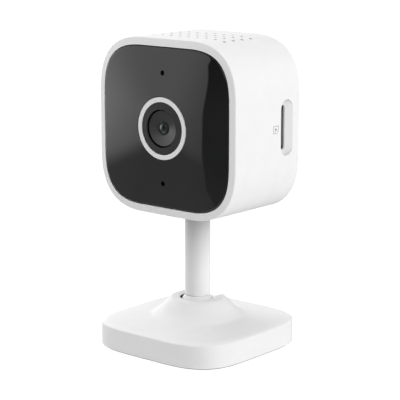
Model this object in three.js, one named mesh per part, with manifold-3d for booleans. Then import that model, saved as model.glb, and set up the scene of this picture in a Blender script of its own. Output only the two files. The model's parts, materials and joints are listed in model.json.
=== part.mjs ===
// Small indoor security camera: a rounded-square head on a stem, with a ball
// joint in a weighted square base.
// Units: millimetres, +Z up. Origin: centre of the base's underside, on the
// stem's axis. The lens looks along -Y, the card slot is on the +X side.
import * as THREE from 'three';
import { mergeVertices } from 'three/addons/utils/BufferGeometryUtils.js';
import Module from 'manifold-3d';

const wasm = await Module();
wasm.setup();

// ---------------------------------------------------------------- dimensions
const GAP = 0.3;             // between pieces that touch on the real object

// head
const HEAD_Z = 65.36;        // height of the lens axis
const HEAD_HALF = 25.15;     // half width and half height of the housing
const HEAD_R = 17.6;         // corner size of the housing outline
const HEAD_N = 2.7;          // corner exponent, 2 is a circle
const HEAD_FRONT = -13.87;   // bezel plane
const HEAD_REAR = 15.6;      // back face
const WALL = 1.8;            // housing wall
const LIP = 2.0;             // bezel width
const LIP_RISE = 0.28;       // the bezel leans out towards the window
const PANEL_HALF = 22.88;    // black front window, half width
const PANEL_TALL = 22.68;    // and half height
const PANEL_R = 15.45;
const PANEL_N = 2.9;
const PANEL_EDGE = -14.28;   // front of the window at its edge
const PANEL_RISE = 1.69;     // height of its pillow shape
const PANEL_T = 1.4;
const RING_OUT = 8.84;       // white ring round the lens
const RING_IN = 7.42;
const RING_FRONT = -15.78;
const HOOD_IN = 5.4;         // lens opening
const PORT_Z = 15.69;        // distance of both pinholes from the lens axis
const PORT_R = 0.72;

// vents in the top: a grid of small round holes
const VENT_R = 0.45;
const VENT_X = [-14.62, -11.37, -8.12, -4.87, -1.62, 1.62, 4.87, 8.12, 11.37, 14.62];
const VENT_Y = [-5.85, -2.0, 1.85, 5.7];

// card bay in the +X side: a pill-shaped recess with a slot in its floor
const BAY_Y = 9.2;
const BAY_W = 5.4;
const BAY_H = 16.0;
const BAY_DEPTH = 1.2;       // at the slot; behind it the floor ramps up towards the rear
const BAY_RAMP = 9.68;       // where the ramp starts
const BAY_RISE = 0.12;       // what is left of the depth at the rear end
const SLOT_Y = 8.8;
const SLOT_H = 12.8;
const SLOT_W = 1.7;
const CARD_OUT = 4.5;        // how far the push-push socket lets the card out

// stem and ball joint
const STEM_R = 3.68;
const STEM_TOP = 47.0;
const BALL_Z = 10.5;
const BALL_R = 5.35;
const CORE_R = 1.75;

// base
const BASE_HALF = 23.6;
const BASE_R = 19.5;
const BASE_N = 3.3;
const BASE_EDGE = 6.76;      // height of the base at its edge
const COLLAR_TOP = 13.87;
const COLLAR_R = 7.85;       // radius of the collar's rim
const COLLAR_FOOT_R = 16.0;
const NOTCH_HALF = 4.05;     // half width of the fold notch
const NOTCH_FLOOR = 7.2;     // at the ball; it rises and runs out on the top of the base

// ------------------------------------------------------------------- helpers
// Outline of a square with superelliptic corners, counter-clockwise.
function outline(a, b, r, n, k = 6) {
  const pts = [];
  const quad = [];
  for (let i = 0; i <= k; i++) {
    const t = (Math.PI / 2) * (i / k);
    quad.push([r * Math.cos(t) ** (2 / n) + a - r, r * Math.sin(t) ** (2 / n) + b - r]);
  }
  for (const [x, y] of quad) pts.push([x, y]);
  for (const [x, y] of [...quad].reverse()) pts.push([-x, y]);
  for (const [x, y] of quad) pts.push([-x, -y]);
  for (const [x, y] of [...quad].reverse()) pts.push([x, -y]);
  return pts.filter((p, i) => {
    const q = pts[(i + pts.length - 1) % pts.length];
    return Math.hypot(p[0] - q[0], p[1] - q[1]) > 1e-4;
  });
}

// The same outline sampled at equal angles, for lofts that end on a circle.
function polar(a, b, r, n, count) {
  const fine = outline(a, b, r, n, 60);
  const ang = fine.map(([x, y]) => (Math.atan2(y, x) + 2 * Math.PI) % (2 * Math.PI));
  const pts = [];
  for (let i = 0; i < count; i++) {
    const t = (2 * Math.PI * i) / count;
    for (let j = 0; j < fine.length; j++) {
      const k = (j + 1) % fine.length;
      let [t0, t1] = [ang[j], ang[k]];
      if (t1 < t0) t1 += 2 * Math.PI;
      const tt = t < t0 - 1e-9 ? t + 2 * Math.PI : t;
      if (tt < t0 - 1e-9 || tt > t1 + 1e-9) continue;
      const [[x0, y0], [x1, y1]] = [fine[j], fine[k]];
      const c = Math.cos(t);
      const s = Math.sin(t);
      const f = (x0 * s - y0 * c) / ((x0 - x1) * s - (y0 - y1) * c);
      pts.push([x0 + f * (x1 - x0), y0 + f * (y1 - y0)]);
      break;
    }
  }
  return pts;
}

// Closed mesh from a list of rings with the same point count. With closed true
// the last ring joins the first, else both end rings get a fan.
function loft(rings, closed = false) {
  const n = rings[0].length;
  const pos = rings.flat(2);
  const idx = [];
  const m = rings.length;
  for (let j = 0; j < (closed ? m : m - 1); j++) {
    const a = j * n;
    const b = ((j + 1) % m) * n;
    for (let i = 0; i < n; i++) {
      const k = (i + 1) % n;
      idx.push(a + i, a + k, b + k, a + i, b + k, b + i);
    }
  }
  if (!closed) {
    for (const [j, flip] of [[0, true], [m - 1, false]]) {
      const c = [0, 0, 0];
      for (const p of rings[j]) for (let q = 0; q < 3; q++) c[q] += p[q] / n;
      const ci = pos.length / 3;
      pos.push(...c);
      for (let i = 0; i < n; i++) {
        const k = (i + 1) % n;
        if (flip) idx.push(ci, j * n + k, j * n + i);
        else idx.push(ci, j * n + i, j * n + k);
      }
    }
  }
  const g = new THREE.BufferGeometry();
  g.setAttribute('position', new THREE.Float32BufferAttribute(pos, 3));
  g.setIndex(idx);
  return g;
}

// A closed geometry as a solid, with its faces turned outwards.
function solid(geometry) {
  let g = geometry.clone();
  for (const name of Object.keys(g.attributes)) if (name !== 'position') g.deleteAttribute(name);
  g = mergeVertices(g, 1e-5);
  const p = g.attributes.position.array;
  const src = g.index.array;
  const tri = [];
  let vol = 0;
  for (let i = 0; i < src.length; i += 3) {
    const [a, b, c] = [src[i], src[i + 1], src[i + 2]];
    if (a === b || b === c || c === a) continue;
    tri.push(a, b, c);
    const [ax, ay, az, bx, by, bz, cx, cy, cz] = [a, b, c].flatMap((v) => [p[3 * v], p[3 * v + 1], p[3 * v + 2]]);
    vol += ax * (by * cz - bz * cy) - ay * (bx * cz - bz * cx) + az * (bx * cy - by * cx);
  }
  if (vol < 0) for (let i = 0; i < tri.length; i += 3) [tri[i + 1], tri[i + 2]] = [tri[i + 2], tri[i + 1]];
  const mesh = new wasm.Mesh({ numProp: 3, vertProperties: new Float32Array(p), triVerts: new Uint32Array(tri) });
  mesh.merge();
  return new wasm.Manifold(mesh);
}

function geometryOf(body) {
  const m = body.getMesh();
  const g = new THREE.BufferGeometry();
  g.setAttribute('position', new THREE.Float32BufferAttribute(Float32Array.from(m.vertProperties), 3));
  g.setIndex(Array.from(m.triVerts));
  g.computeVertexNormals();
  return g;
}

const at = (g, x, y, z) => g.translate(x, y, z);
const box = (x0, x1, y0, y1, z0, z1) => solid(at(new THREE.BoxGeometry(x1 - x0, y1 - y0, z1 - z0), (x0 + x1) / 2, (y0 + y1) / 2, (z0 + z1) / 2));
// Cylinders along each axis, from lo to hi.
const cylZ = (r, x, y, lo, hi, seg = 24) => solid(at(new THREE.CylinderGeometry(r, r, hi - lo, seg).rotateX(Math.PI / 2), x, y, (lo + hi) / 2));
const cylY = (r, x, z, lo, hi, seg = 24) => solid(at(new THREE.CylinderGeometry(r, r, hi - lo, seg), x, (lo + hi) / 2, z));
const cylX = (r, y, z, lo, hi, seg = 24) => solid(at(new THREE.CylinderGeometry(r, r, hi - lo, seg).rotateZ(Math.PI / 2), (lo + hi) / 2, y, z));
// Turned pieces: profile points are [radius, height along the axis].
const turnZ = (profile, seg = 32) => solid(new THREE.LatheGeometry(profile.map(([r, h]) => new THREE.Vector2(r, h)), seg).rotateX(Math.PI / 2));
const turnY = (profile, seg = 32) => solid(new THREE.LatheGeometry(profile.map(([r, h]) => new THREE.Vector2(r, h)), seg));
const closedProfile = (p) => [...p, p[0]];
// Prism of a [u, v] outline: along Y for head pieces, along Z for base pieces.
const prismY = (pts, lo, hi) => solid(loft([lo, hi].map((y) => pts.map(([u, v]) => [u, y, v]))));
const prismZ = (pts, lo, hi) => solid(loft([lo, hi].map((z) => pts.map(([u, v]) => [u, v, z]))));
const roundRect = (a, b, r, k = 4) => outline(a, b, r, 2, k);

const model = new THREE.Group();
const head = new THREE.Group();
head.position.set(0, 0, HEAD_Z);
const base = new THREE.Group();
const stem = new THREE.Group();
model.add(head, stem, base);

function add(group, name, body, color, roughness, metalness = 0) {
  const mesh = new THREE.Mesh(geometryOf(body), new THREE.MeshStandardMaterial({ color, roughness, metalness }));
  mesh.name = name;
  group.add(mesh);
  return mesh;
}

const WHITE = 0xf1f1f1;
const BLACK = 0x17181a;
const GREEN = 0x1f5a3a;
const STEEL = 0xb9bcc0;

// ------------------------------------------------------------------ the head
// Everything in this group is measured from the lens axis.
const headOutline = (inset, k = 6) => outline(HEAD_HALF - inset, HEAD_HALF - inset, HEAD_R - inset, HEAD_N, k);
const panelOutline = (inset, k = 6) => outline(PANEL_HALF - inset, PANEL_TALL - inset, PANEL_R - inset, PANEL_N, k);

{
  // Sleeve: bezel, side wall and rounded back edge, open at the front and rear.
  const profile = [
    [LIP, HEAD_FRONT - LIP_RISE], [0.3, HEAD_FRONT], [0, HEAD_FRONT + 0.3],
    [0, HEAD_REAR - 1.2], [0.3, HEAD_REAR - 0.4], [1.0, HEAD_REAR],
    [WALL, HEAD_REAR], [WALL, -12.2], [LIP, -12.2],
  ];
  const ringOf = (inset) => (inset === LIP ? panelOutline(-0.27) : headOutline(inset));
  let shell = solid(loft(profile.map(([inset, y]) => ringOf(inset).map(([x, z]) => [x, y, z])), true));
  // vents
  for (const x of VENT_X) for (const y of VENT_Y) shell = shell.subtract(cylZ(VENT_R, x, y, 18, 27, 6));
  // boss that backs the card bay, then the bay and the card slot
  const inner = prismY(headOutline(WALL - 0.2), -12, 15);
  shell = shell.add(box(22.2, 24.2, 4.8, 12.8, -10.2, 10.2).intersect(inner));
  const bay = roundRect(BAY_W / 2, BAY_H / 2, BAY_W / 2 - 0.001, 6);
  const wedge = solid(loft([-9, 9].map((z) => [
    [HEAD_HALF - BAY_DEPTH - 1, BAY_Y + BAY_W / 2 + 1], [HEAD_HALF - BAY_DEPTH - 1, BAY_RAMP], [HEAD_HALF - BAY_DEPTH, BAY_RAMP],
    [HEAD_HALF - BAY_RISE, BAY_Y + BAY_W / 2], [HEAD_HALF - BAY_RISE, BAY_Y + BAY_W / 2 + 1]].map(([x, y]) => [x, y, z]))));
  shell = shell.subtract(solid(loft([HEAD_HALF - BAY_DEPTH, HEAD_HALF + 2].map((x) => bay.map(([u, v]) => [x, BAY_Y + u, v])))).subtract(wedge));
  const slot = roundRect(SLOT_W / 2, SLOT_H / 2, SLOT_W / 2 - 0.001, 3);
  shell = shell.subtract(solid(loft([20, HEAD_HALF + 2].map((x) => slot.map(([u, v]) => [x, SLOT_Y + u, v])))));
  // hole for the stem
  shell = shell.subtract(cylZ(STEM_R + 0.25, 0, 0, -27, -20, 32));
  add(head, 'head_shell', shell, WHITE, 0.45);
}
{
  // Back cover with the speaker grille, the power inlet and the reset button.
  const k = 5;
  const c = (inset) => headOutline(WALL + GAP + inset, k);
  let cover = solid(loft([
    c(0.4).map(([x, z]) => [x, HEAD_REAR, z]),
    c(0).map(([x, z]) => [x, HEAD_REAR - 0.4, z]),
    c(0).map(([x, z]) => [x, HEAD_REAR - 2.4, z]),
    c(1.2).map(([x, z]) => [x, HEAD_REAR - 2.4, z]),
    c(1.2).map(([x, z]) => [x, HEAD_REAR - 1.6, z]),
  ]));
  for (let i = 0; i < 3; i++) {
    const n = [1, 6, 12][i];
    for (let j = 0; j < n; j++) {
      const t = (2 * Math.PI * j) / n;
      cover = cover.subtract(cylY(0.6, 2.2 * i * Math.cos(t), 9.5 + 2.2 * i * Math.sin(t), 10, 20, 6));
    }
  }
  cover = cover.subtract(prismY(roundRect(4.25, 1.75, 1.0, 3).map(([u, v]) => [u, v - 13.5]), 10, 20));
  cover = cover.subtract(cylY(1.95, 12.5, -13.5, 10, 20, 20));
  // four snap tabs
  for (const [sx, sz] of [[1, 0], [-1, 0], [0, 1], [0, -1]]) {
    if (sx) cover = cover.add(box(sx > 0 ? 20.2 : -21.4, sx > 0 ? 21.4 : -20.2, 11.4, HEAD_REAR - 2, -14.5, -11));
    else cover = cover.add(box(-14, -10, 11.4, HEAD_REAR - 2, sz > 0 ? 20.2 : -21.4, sz > 0 ? 21.4 : -20.2));
  }
  add(head, 'rear_cover', cover, WHITE, 0.5);
}
{
  // Black window: a thin pillow-shaped sheet with a round hole and two ports.
  const squ = polar(PANEL_HALF, PANEL_TALL, PANEL_R, PANEL_N, 40);
  const rim = RING_OUT + 0.26;
  const ring = (g, dy, thick) => squ.map(([x, z]) => {
    const R = Math.hypot(x, z);
    const r = g === null ? rim : g * R;
    const gg = g === null ? rim / R : g;
    return [x * r / R, PANEL_EDGE - PANEL_RISE * (1 - gg * gg) + dy + thick, z * r / R];
  });
  const levels = [0.985, 0.88, 0.74, 0.58, null];
  const rings = [];
  rings.push(ring(1, 0.25, 0));
  for (const g of levels) rings.push(ring(g, 0, 0));
  for (const g of [null, 0.58, 0.8]) rings.push(ring(g, 0, PANEL_T));
  rings.push(ring(1, 0, PANEL_T));
  let panel = solid(loft(rings, true));
  for (const s of [1, -1]) panel = panel.subtract(cylY(PORT_R, 0, s * PORT_Z, -18, -10, 12));
  add(head, 'front_panel', panel, BLACK, 0.12);
}
add(head, 'lens_ring', turnY(closedProfile([
  [RING_IN, RING_FRONT + 0.1], [RING_IN + 0.1, RING_FRONT], [RING_OUT - 0.1, RING_FRONT], [RING_OUT, RING_FRONT + 0.1],
  [RING_OUT, -13.0], [RING_IN, -13.0]]), 32), WHITE, 0.4);
add(head, 'lens_hood', turnY(closedProfile([
  [HOOD_IN, -15.5], [RING_IN - GAP, -15.5], [RING_IN - GAP, -12.6], [HOOD_IN + 0.35, -12.6]]), 32), 0x101113, 0.8);

// Lens: barrel with a dished nose, two glasses in it, holder, filter, sensor.
add(head, 'lens_barrel', turnY(closedProfile([
  [2.25, -14.15], [4.88, -14.52], [5.05, -14.44], [5.05, -6.6], [4.4, -6.2], [4.4, -4.2], [1.9, -4.2], [1.9, -10.5], [2.25, -10.5]]), 24), 0x16171a, 0.55);
add(head, 'front_lens', turnY([[0, -14.82], [0.6, -14.75], [1.1, -14.6], [1.55, -14.34], [1.9, -14.0], [1.9, -12.0], [0, -12.6]], 20), 0x1d2a2a, 0.05);
add(head, 'rear_lens', turnY([[0, -9.6], [0.9, -9.4], [1.55, -9.0], [1.55, -7.4], [0, -6.9]], 16), 0x93a7a4, 0.05);
{
  let holder = box(-7, 7, -4.8 + 1.2, 1.7, -7, 7).add(turnY([[0, -9.2], [6.2, -9.2], [6.2, -2.5], [0, -2.5]], 28));
  holder = holder.subtract(turnY([[0, -10], [5.35, -10], [5.35, -5.9], [4.75, -5.9], [4.75, -3.6], [0, -3.6]], 28));
  holder = holder.subtract(box(-4.9, 4.9, -2.6, 2, -4.9, 4.9)).subtract(cylY(3.2, 0, 0, -4, -2, 20));
  add(head, 'lens_holder', holder, 0x1b1c1e, 0.7);
}
add(head, 'ir_cut_filter', box(-4, 4, -2.2, -1.6, -4, 4), 0x8fb3b8, 0.05);
{
  const sensor = box(-4.2, 4.2, 0.2, 1.7, -4.2, 4.2).subtract(box(-2.9, 2.9, 0.0, 0.5, -2.2, 2.2));
  add(head, 'image_sensor', sensor, 0x1a1c22, 0.3);
}
{
  // Main board: notched for the card bay and drilled for its three screws.
  let board = prismY(outline(19.6, 19.6, 13.5, 2.6, 3), 2.0, 3.2);
  for (const [x, z] of [[-14, 13], [14, 13], [-14, -13]]) board = board.subtract(cylY(1.15, x, z, 0, 5, 12));
  board = board.subtract(box(-7.0, 7.0, 1, 5, -20.5, -15.6));
  add(head, 'main_board', board, GREEN, 0.5);
}
add(head, 'processor', box(-6, 6, 3.5, 4.7, -6, 6), 0x1b1b1d, 0.5);
add(head, 'thermal_pad', box(-5.6, 5.6, 5.0, 5.8, -5.6, 5.6), 0x9fb4c4, 0.8);
{
  const sink = box(-8.5, 8.5, 6.1, 7.1, -8.5, 8.5).add(box(-8.5, -7.7, 6.5, 8.9, -8.5, 8.5)).add(box(7.7, 8.5, 6.5, 8.9, -8.5, 8.5));
  add(head, 'heat_spreader', sink, 0xc4c7ca, 0.35, 0.9);
}
add(head, 'wifi_module', box(-17, -10, 3.5, 5.6, -5.5, 5.5), 0xb7babd, 0.35, 0.9);
add(head, 'antenna', box(-22.6, -22.2, -4, 11, -7, 7), 0x2a2a26, 0.5);
{
  // Card socket: a flat steel shell, open towards the slot.
  const socket = box(7.6, 21.8, 7.4, 10.3, -7.3, 7.3).subtract(box(8.6, 22.5, 7.9, 9.5, -6.0, 6.0)).subtract(box(18.5, 22.5, 9.3, 11, -4, 4));
  add(head, 'card_socket', socket.subtract(box(7, 9.2, 6, 11, -9, 9)), STEEL, 0.3, 0.9);
}
{
  const card = box(9.5, 23.6, 8.2, 9.2, -5.5, 5.5).subtract(box(9, 12.5, 8, 9.4, 4.6, 6));
  add(head, 'memory_card', card, 0x1c1c1f, 0.5);
}
{
  // Power inlet: open mouth at the back, tongue inside.
  let inlet = prismY(roundRect(3.9, 1.45, 0.8, 3).map(([u, v]) => [u, v - 13.5]), 8.2, 15.1);
  inlet = inlet.subtract(prismY(roundRect(3.45, 1.05, 0.5, 3).map(([u, v]) => [u, v - 13.5]), 9.4, 16));
  inlet = inlet.add(box(-2.4, 2.4, 9.0, 13.6, -13.85, -13.2));
  add(head, 'power_inlet', inlet, STEEL, 0.3, 0.9);
}
add(head, 'power_board', box(-9, 16.2, 6.9, 7.9, -16.8, -10.2), GREEN, 0.5);
add(head, 'power_ribbon', box(-8, -2, 3.5, 6.6, -12.2, -12.0), 0xa8651c, 0.5);
add(head, 'reset_switch', box(10.6, 14.4, 8.2, 10.4, -15.4, -12.1), 0x2b2b2d, 0.5);
add(head, 'reset_button', turnY([[0, 10.95], [1.2, 10.95], [1.2, 12.7], [2.6, 12.7], [2.6, 13.7], [1.65, 13.7], [1.65, 15.45], [1.45, 15.65], [0, 15.65]], 20).translate([12.5, 0, -13.5]), 0xe3e3e3, 0.5);
add(head, 'speaker', turnY([[0, 7.4], [5.2, 7.4], [5.2, 9.0], [6.6, 9.0], [6.6, 12.0], [5.6, 12.0], [5.6, 11.4], [0, 11.0]], 28).intersect(box(-9, 9, 0, 20, -9, 9)), 0x1e1e20, 0.6);
add(head, 'speaker_gasket', turnY(closedProfile([[5.2, 12.3], [6.7, 12.3], [6.7, 13.7], [5.2, 13.7]]), 24), 0x2a2a2a, 0.9);
for (const name of ['speaker', 'speaker_gasket']) head.children.find((m) => m.name === name).position.z = 9.5;
{
  // Infrared lamp board behind the window, with the lamps, the light sensor,
  // the status lamp and the microphone on it.
  let board = prismY(outline(19.5, 19.5, 13.4, 2.7, 4), -11.0, -10.0).subtract(cylY(7.7, 0, 0, -12, -9, 28));
  add(head, 'lamp_board', board, 0x1c1d1f, 0.5);
  for (const [i, x, z] of [[1, -13, 6], [2, 13, 6], [3, -13, -6], [4, 13, -6]]) {
    const lamp = box(x - 1.6, x + 1.6, -12.4, -11.3, z - 1.6, z + 1.6).add(turnY([[0, -13.3], [0.7, -13.15], [1.25, -12.7], [1.25, -12.2], [0, -12.2]], 10).translate([x, 0, z]));
    add(head, `ir_lamp_${i}`, lamp, 0x3a1216, 0.2);
  }
  add(head, 'lamp_ribbon', box(-15.6, -15.4, -9.7, 1.7, -3, 3), 0xa8651c, 0.5);
  add(head, 'light_sensor', box(-1.2, 1.2, -12.3, -11.3, 11.0, 13.0), 0x50504a, 0.3);
  add(head, 'status_lamp', box(-0.9, 0.9, -12.1, -11.3, PORT_Z - 0.8, PORT_Z + 0.8), 0xd9d9c8, 0.3);
  add(head, 'light_pipe', turnY([[0, -14.35], [0.42, -14.35], [0.42, -13.1], [1.1, -13.1], [1.1, -12.4], [0, -12.4]], 14).translate([0, 0, PORT_Z]), 0xdfe6e8, 0.1);
  add(head, 'microphone', turnY([[0, -12.4], [1.6, -12.4], [1.6, -11.3], [0, -11.3]], 16).translate([0, 0, -PORT_Z]), 0x8f8f8f, 0.4, 0.7);
  add(head, 'microphone_boot', turnY(closedProfile([[0.75, -13.0], [2.6, -13.0], [2.6, -11.4], [1.95, -11.4], [1.95, -12.7], [0.75, -12.7]]), 16).translate([0, 0, -PORT_Z]), 0x242424, 0.9);
}
{
  // Inner frame: holds the lamp board in front and the main board behind, with
  // a clamp block for the top of the stem.
  let frame = prismY(outline(21.6, 21.6, 14.4, 2.7, 5), -9.7, -8.0).subtract(prismY(outline(16.6, 16.6, 10, 2.6, 4), -10, -7));
  for (const [x, z] of [[-14, 13], [14, 13], [-14, -13]]) {
    frame = frame.add(cylY(2.6, x, z, -9.0, 1.7, 14)).subtract(cylY(1.0, x, z, -4.2, 3, 12));
  }
  frame = frame.add(box(-6.6, 6.6, -9.7, -8.0, -21.2, -14.5));
  frame = frame.add(box(-6.6, 6.6, -9.7, 6.4, -22.6, -16.6));
  frame = frame.subtract(cylZ(STEM_R + 0.25, 0, 0, -30, -10, 28));
  add(head, 'inner_frame', frame, 0x2c2d30, 0.6);
  for (const [i, x, z] of [[1, -14, 13], [2, 14, 13], [3, -14, -13]]) {
    add(head, `board_screw_${i}`, turnY([[0, -3.9], [0.7, -3.9], [0.7, 3.5], [1.9, 3.5], [1.9, 4.5], [0, 4.5]], 14).translate([x, 0, z]).subtract(box(x - 1.2, x + 1.2, 4.1, 5, z - 0.2, z + 0.2)), STEEL, 0.35, 0.9);
  }
}

// ------------------------------------------------------------------ the stem
const ballSeat = (r) => solid(at(new THREE.SphereGeometry(r, 24, 14), 0, 0, BALL_Z));
{
  // White tube, hollowed at its foot to the ball's curve, with a flange on top
  // that the inner frame's clamp block holds.
  let tube = turnZ(closedProfile([[CORE_R + GAP, 12], [STEM_R, 12], [STEM_R, STEM_TOP], [CORE_R + GAP, STEM_TOP]]), 28);
  tube = tube.subtract(ballSeat(BALL_R + GAP));
  add(stem, 'stem_tube', tube, WHITE, 0.45);
  let core = cylZ(CORE_R, 0, 0, 12, STEM_TOP + 2.4, 20).subtract(ballSeat(BALL_R + GAP));
  add(stem, 'stem_core', core, STEEL, 0.3, 0.9);
  add(stem, 'stem_nut', turnZ(closedProfile([[CORE_R + GAP, STEM_TOP + 0.3], [3.4, STEM_TOP + 0.3], [3.4, STEM_TOP + 2.2], [CORE_R + GAP, STEM_TOP + 2.2]]), 6), STEEL, 0.35, 0.9);
}
add(stem, 'ball', solid(at(new THREE.SphereGeometry(BALL_R, 20, 12).rotateX(Math.PI / 2), 0, 0, BALL_Z)), 0xededed, 0.35);

// ------------------------------------------------------------------ the base
const baseOutline = (inset, count = 36) => polar(BASE_HALF - inset, BASE_HALF - inset, BASE_R - inset, BASE_N, count);
{
  // Shell: domed top that rises into a flared collar round the ball, open
  // underneath; a slot cut through the collar lets the stem fold to the rear.
  const ringAt = (inset, z) => baseOutline(inset).map(([x, y]) => [x, y, z]);
  // rings between the square edge and the round collar foot
  const mix = (t, z) => baseOutline(0).map(([x, y]) => {
    const R = Math.hypot(x, y);
    const r = (1 - t) * (R - 1.6) + t * (COLLAR_FOOT_R + 2);
    return [x * r / R, y * r / R, z];
  });
  const round = (r, z) => baseOutline(0).map(([x, y]) => {
    const R = Math.hypot(x, y);
    return [x * r / R, y * r / R, z];
  });
  const outer = [
    // skirt round the rubber foot, side, softly domed top
    ringAt(2.2, 0.9), ringAt(1.05, 0.9), ringAt(1.0, 0.25), ringAt(0.2, 0.25), ringAt(0, 0.5), ringAt(0, BASE_EDGE - 0.25), ringAt(0.12, BASE_EDGE + 0.08), ringAt(0.7, BASE_EDGE + 0.46), ringAt(1.6, BASE_EDGE + 0.7),
    mix(0.4, BASE_EDGE + 0.88), mix(1, BASE_EDGE + 1.06),
    // flared collar
    round(COLLAR_FOOT_R, BASE_EDGE + 1.22), round(14.0, 8.6), round(12.0, 9.75), round(10.0, 11.75), round(COLLAR_R + 0.45, COLLAR_TOP - 0.5), round(COLLAR_R, COLLAR_TOP - 0.12), round(COLLAR_R - 0.4, COLLAR_TOP),
    round(5.25, COLLAR_TOP),
    // inside: narrow lip over the ball, seat, then the hollow under the top
    round(5.1, COLLAR_TOP - 0.3), round(5.2, BALL_Z + 2.25), round(5.62, BALL_Z + 1.0), round(5.72, BALL_Z), round(5.72, BALL_Z - 0.9),
    round(8.2, BALL_Z - 0.9), round(8.6, 5.6), mix(0.9, 5.4), ringAt(2.2, 5.0),
  ];
  let shell = solid(loft(outer, true));
  // boss ring for the three retainer screws
  for (let i = 0; i < 3; i++) {
    const t = Math.PI / 2 + (2 * Math.PI * (i + 0.5)) / 3;
    shell = shell.add(cylZ(2.0, 12.5 * Math.cos(t), 12.5 * Math.sin(t), 3.4, 6.2, 10));
    shell = shell.subtract(cylZ(0.9, 12.5 * Math.cos(t), 12.5 * Math.sin(t), 3, 5.8, 10));
  }
  const notch = [[0, NOTCH_FLOOR], [6.5, NOTCH_FLOOR], [16.5, 7.97], [16.5, 16], [0, 16]];
  shell = shell.subtract(solid(loft([-NOTCH_HALF, NOTCH_HALF].map((x) => notch.map(([y, z]) => [x, y, z])))));
  add(base, 'base_shell', shell, WHITE, 0.45);
}
{
  // Cup under the ball, pushed up by a disc spring that the retainer carries.
  const cup = turnZ([[0, 4.3], [7.6, 4.3], [7.6, 8.9], [0, 8.9]], 24).subtract(ballSeat(BALL_R + GAP))
    .subtract(box(-NOTCH_HALF, NOTCH_HALF, 0, 9, NOTCH_FLOOR, 16));
  add(base, 'ball_cup', cup, 0x2f3033, 0.5);
  add(base, 'cup_spring', turnZ(closedProfile([[2.4, 3.75], [7.0, 3.3], [7.0, 3.55], [2.4, 4.0]]), 24), STEEL, 0.3, 0.9);
  let plate = prismZ(outline(15.2, 15.2, 12, 2.4, 4), 2.3, 3.0);
  for (let i = 0; i < 3; i++) {
    const t = Math.PI / 2 + (2 * Math.PI * (i + 0.5)) / 3;
    plate = plate.subtract(cylZ(1.05, 12.5 * Math.cos(t), 12.5 * Math.sin(t), 1, 3.4, 10));
    add(base, `retainer_screw_${i + 1}`, turnZ([[0, 1.75], [1.5, 1.75], [1.5, 2.0], [0.6, 2.0], [0.6, 5.4], [0, 5.4]], 12).translate([12.5 * Math.cos(t), 12.5 * Math.sin(t), 0]), STEEL, 0.35, 0.9);
  }
  add(base, 'retainer_plate', plate, STEEL, 0.4, 0.9);
  // Steel ballast ring round the retainer, the bottom cover and the rubber foot.
  const weight = prismZ(outline(20.9, 20.9, 16.6, 3.0, 5), 1.75, 4.7).subtract(prismZ(outline(15.6, 15.6, 12.4, 2.4, 5), 1, 5.5));
  add(base, 'base_weight', weight, 0x8f9194, 0.5, 0.9);
  add(base, 'base_cover', prismZ(baseOutline(2.55, 28), 0.9, 1.45), 0x3a3a3c, 0.6);
  add(base, 'rubber_foot', prismZ(baseOutline(1.35, 28), 0, 0.6), 0x2b2b2d, 0.9);
}

export default model;
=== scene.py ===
import json
import math

import bmesh
import bpy
import numpy as np
from mathutils import Matrix, Vector
from mathutils.bvhtree import BVHTree


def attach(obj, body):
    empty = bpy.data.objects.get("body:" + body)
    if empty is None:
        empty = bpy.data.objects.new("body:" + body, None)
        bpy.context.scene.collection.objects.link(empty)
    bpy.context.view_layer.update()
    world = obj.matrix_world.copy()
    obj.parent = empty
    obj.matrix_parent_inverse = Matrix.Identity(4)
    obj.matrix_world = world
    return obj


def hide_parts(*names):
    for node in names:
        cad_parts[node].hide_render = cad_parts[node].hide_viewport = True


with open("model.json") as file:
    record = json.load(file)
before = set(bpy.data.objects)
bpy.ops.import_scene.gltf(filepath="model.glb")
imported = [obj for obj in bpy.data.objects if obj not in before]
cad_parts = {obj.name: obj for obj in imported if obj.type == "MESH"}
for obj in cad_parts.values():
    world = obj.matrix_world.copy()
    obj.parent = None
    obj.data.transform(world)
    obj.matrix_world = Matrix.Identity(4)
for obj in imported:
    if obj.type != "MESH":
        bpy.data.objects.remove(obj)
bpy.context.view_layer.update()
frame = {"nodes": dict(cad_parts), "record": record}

SCENE = bpy.context.scene
MM = 0.001

# ---------------------------------------------------------------- camera
AZ, EL = math.radians(40.256), math.radians(11.667)
TARGET = Vector((0, 0, 0.042618))
DIST = 0.44677
BACK = Vector((math.sin(AZ) * math.cos(EL), -math.cos(AZ) * math.cos(EL), math.sin(EL)))
RIGHT = Vector((math.cos(AZ), math.sin(AZ), 0))
UP = BACK.cross(RIGHT)
cam_data = bpy.data.cameras.new("camera")
cam = bpy.data.objects.new("camera", cam_data)
SCENE.collection.objects.link(cam)
cam_data.sensor_width = 36.0
cam_data.sensor_fit = "HORIZONTAL"
cam_data.lens = 1538.468 / 400.0 * 36.0
cam_data.shift_x = 0.006
cam_data.clip_start = 0.01
cam_data.clip_end = 50
cam.matrix_world = Matrix((
    (RIGHT.x, UP.x, BACK.x, (TARGET + BACK * DIST).x),
    (RIGHT.y, UP.y, BACK.y, (TARGET + BACK * DIST).y),
    (RIGHT.z, UP.z, BACK.z, (TARGET + BACK * DIST).z),
    (0, 0, 0, 1)))
SCENE.camera = cam
SCENE.view_settings.view_transform = "Standard"
SCENE.view_settings.look = "None"

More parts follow.
